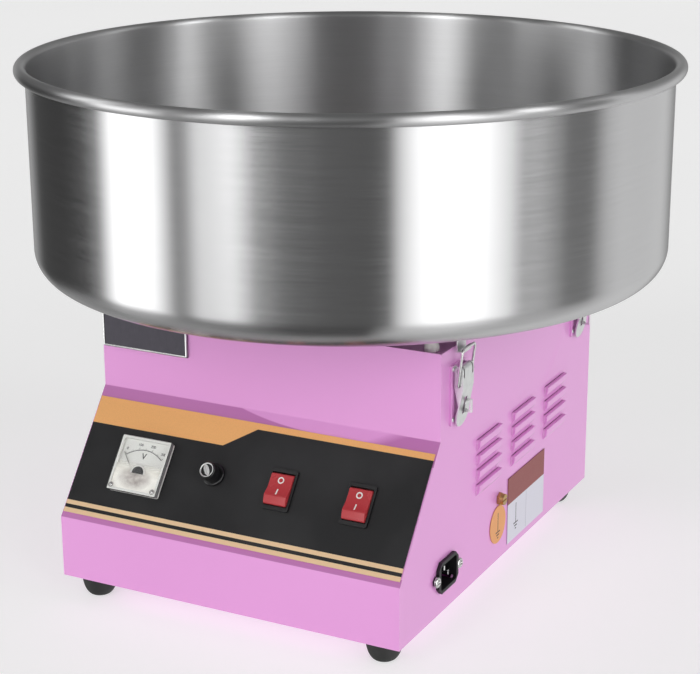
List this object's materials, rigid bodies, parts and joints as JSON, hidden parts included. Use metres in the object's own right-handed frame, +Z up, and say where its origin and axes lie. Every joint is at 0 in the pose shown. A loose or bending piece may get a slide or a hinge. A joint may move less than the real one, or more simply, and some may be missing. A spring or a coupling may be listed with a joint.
{
  "type": "candy floss machine",
  "caption": "Electric candy floss machine: wide stainless bowl latched on a folded sheet-metal housing with a sloping control panel and a heated spinner head.",
  "frame": {"origin": "on the floor under the axis of the bowl and the spinner head, at the centre of the bounding box's base", "axes": "+Z up along the spinner's axis, -Y towards the control panel's side, +X towards the side with the mains inlet"},
  "size_m": [0.52, 0.52, 0.4058],
  "materials": {
    "pink_paint": "glossy pink powder coat",
    "panel_print": "satin printed overlay, black with orange bands",
    "spun_steel": "spun stainless with fine rings of brushing",
    "bright_steel": "bright pressed stainless",
    "aluminium": "turned aluminium",
    "brass": "plain brass",
    "black_rubber": "moulded rubber",
    "black_plastic": "moulded black plastic",
    "red_plastic": "moulded red plastic",
    "white_plastic": "moulded white plastic",
    "dial_card": "printed scale card",
    "clear_plastic": "clear moulded cover",
    "fuse_glass": "glass tube with metal ends",
    "label_film": "two-tone vinyl label",
    "orange_film": "orange vinyl",
    "plate_sheet": "dark anodised plate with a bright border",
    "motor_paint": "dark grey enamel",
    "resin": "brown phenolic resin"
  },
  "bodies": {
    "housing": {"housing_shell": "pink_paint", "top_plate": "pink_paint", "base_plate": "pink_paint", "rear_cover": "pink_paint", "panel_overlay": "panel_print", "name_plate": "plate_sheet", "side_label": "label_film", "earth_tag": "orange_film", "earth_screw": "brass", "foot_front_left": "black_rubber", "foot_rear_left": "black_rubber", "foot_front_right": "black_rubber", "foot_rear_right": "black_rubber", "voltmeter_case": "white_plastic", "voltmeter_dial": "dial_card", "voltmeter_window": "clear_plastic", "fuse_holder": "black_plastic", "heat_switch_case": "black_plastic", "power_switch_case": "black_plastic", "inlet_socket": "black_plastic", "inlet_pin_earth": "bright_steel", "inlet_pin_line": "bright_steel", "inlet_pin_neutral": "bright_steel", "inlet_screw_front": "bright_steel", "inlet_screw_rear": "bright_steel", "latch_base_front_right": "bright_steel", "latch_base_rear_right": "bright_steel", "latch_base_front_left": "bright_steel", "latch_base_rear_left": "bright_steel", "bowl_spacer_front_left": "white_plastic", "bowl_spacer_rear_left": "white_plastic", "bowl_spacer_front_right": "white_plastic", "bowl_spacer_rear_right": "white_plastic", "motor_bracket": "bright_steel", "motor_body": "motor_paint", "spindle_bearing": "aluminium", "brush_holder": "resin"},
    "bowl": {"bowl": "spun_steel", "bowl_catch_front_right": "bright_steel", "bowl_catch_rear_right": "bright_steel", "bowl_catch_front_left": "bright_steel", "bowl_catch_rear_left": "bright_steel"},
    "spinner": {"spindle": "bright_steel", "slip_ring_hub": "brass", "spinner_head": "aluminium", "spinner_cap": "aluminium", "heater_ring": "bright_steel"},
    "meter_needle": {"voltmeter_needle": "black_plastic"},
    "fuse_carrier": {"fuse_cartridge": "fuse_glass"},
    "fuse_knob": {"fuse_cap": "black_plastic"},
    "heat_rocker": {"heat_switch_rocker": "red_plastic"},
    "power_rocker": {"power_switch_rocker": "red_plastic"},
    "lever_front_right": {"latch_lever_front_right": "bright_steel"},
    "lever_rear_right": {"latch_lever_rear_right": "bright_steel"},
    "lever_front_left": {"latch_lever_front_left": "bright_steel"},
    "lever_rear_left": {"latch_lever_rear_left": "bright_steel"},
    "loop_front_right": {"latch_loop_front_right": "bright_steel"},
    "loop_rear_right": {"latch_loop_rear_right": "bright_steel"},
    "loop_front_left": {"latch_loop_front_left": "bright_steel"},
    "loop_rear_left": {"latch_loop_rear_left": "bright_steel"}
  },
  "joints": [
    {"name": "spinner_spin", "type": "hinge", "parent": "housing", "child": "spinner", "pos_m": [0, 0, 0.25], "axis": [0, 0, 1], "continuous": true},
    {"name": "bowl_lift", "type": "slide", "parent": "housing", "child": "bowl", "axis": [0, 0, 1], "range_m": [0, 0.12]},
    {"name": "meter_needle_swing", "type": "hinge", "parent": "housing", "child": "meter_needle", "pos_m": [-0.0879, -0.1893, 0.09914], "axis": [0, -0.7956, 0.6058], "range_deg": [-80, 0], "stiffness_Nm_per_rad": 0.0001},
    {"name": "fuse_pull", "type": "slide", "parent": "housing", "child": "fuse_carrier", "axis": [0, -0.7956, 0.6058], "range_m": [0, 0.03]},
    {"name": "fuse_cap_turn", "type": "hinge", "parent": "fuse_carrier", "child": "fuse_knob", "pos_m": [-0.0255, -0.17718, 0.11127], "axis": [0, -0.7956, 0.6058], "range_deg": [0, 90]},
    {"name": "heat_rocker_tilt", "type": "hinge", "parent": "housing", "child": "heat_rocker", "pos_m": [0.0323, -0.17821, 0.10992], "axis": [1, 0, 0], "range_deg": [0, 18]},
    {"name": "power_rocker_tilt", "type": "hinge", "parent": "housing", "child": "power_rocker", "pos_m": [0.0973, -0.17821, 0.10992], "axis": [1, 0, 0], "range_deg": [0, 18]},
    {"name": "lever_front_right_open", "type": "hinge", "parent": "housing", "child": "lever_front_right", "pos_m": [0.1515, -0.1155, 0.204], "axis": [0, -1, 0], "range_deg": [0, 120]},
    {"name": "lever_rear_right_open", "type": "hinge", "parent": "housing", "child": "lever_rear_right", "pos_m": [0.1515, 0.129, 0.204], "axis": [0, -1, 0], "range_deg": [0, 120]},
    {"name": "lever_front_left_open", "type": "hinge", "parent": "housing", "child": "lever_front_left", "pos_m": [-0.1515, -0.1155, 0.204], "axis": [0, 1, 0], "range_deg": [0, 120]},
    {"name": "lever_rear_left_open", "type": "hinge", "parent": "housing", "child": "lever_rear_left", "pos_m": [-0.1515, 0.129, 0.204], "axis": [0, 1, 0], "range_deg": [0, 120]},
    {"name": "loop_front_right_swing", "type": "hinge", "parent": "lever_front_right", "child": "loop_front_right", "pos_m": [0.1515, -0.1155, 0.193], "axis": [0, -1, 0], "range_deg": [-151, 0]},
    {"name": "loop_rear_right_swing", "type": "hinge", "parent": "lever_rear_right", "child": "loop_rear_right", "pos_m": [0.1515, 0.129, 0.193], "axis": [0, -1, 0], "range_deg": [-151, 0]},
    {"name": "loop_front_left_swing", "type": "hinge", "parent": "lever_front_left", "child": "loop_front_left", "pos_m": [-0.1515, -0.1155, 0.193], "axis": [0, 1, 0], "range_deg": [-151, 0]},
    {"name": "loop_rear_left_swing", "type": "hinge", "parent": "lever_rear_left", "child": "loop_rear_left", "pos_m": [-0.1515, 0.129, 0.193], "axis": [0, 1, 0], "range_deg": [-151, 0]}
  ],
  "couplings": [
    {"joint": "loop_front_right_swing", "follows": "lever_front_right_open", "ratio": -1.25},
    {"joint": "loop_rear_right_swing", "follows": "lever_rear_right_open", "ratio": -1.25},
    {"joint": "loop_front_left_swing", "follows": "lever_front_left_open", "ratio": -1.25},
    {"joint": "loop_rear_left_swing", "follows": "lever_rear_left_open", "ratio": -1.25}
  ]
}
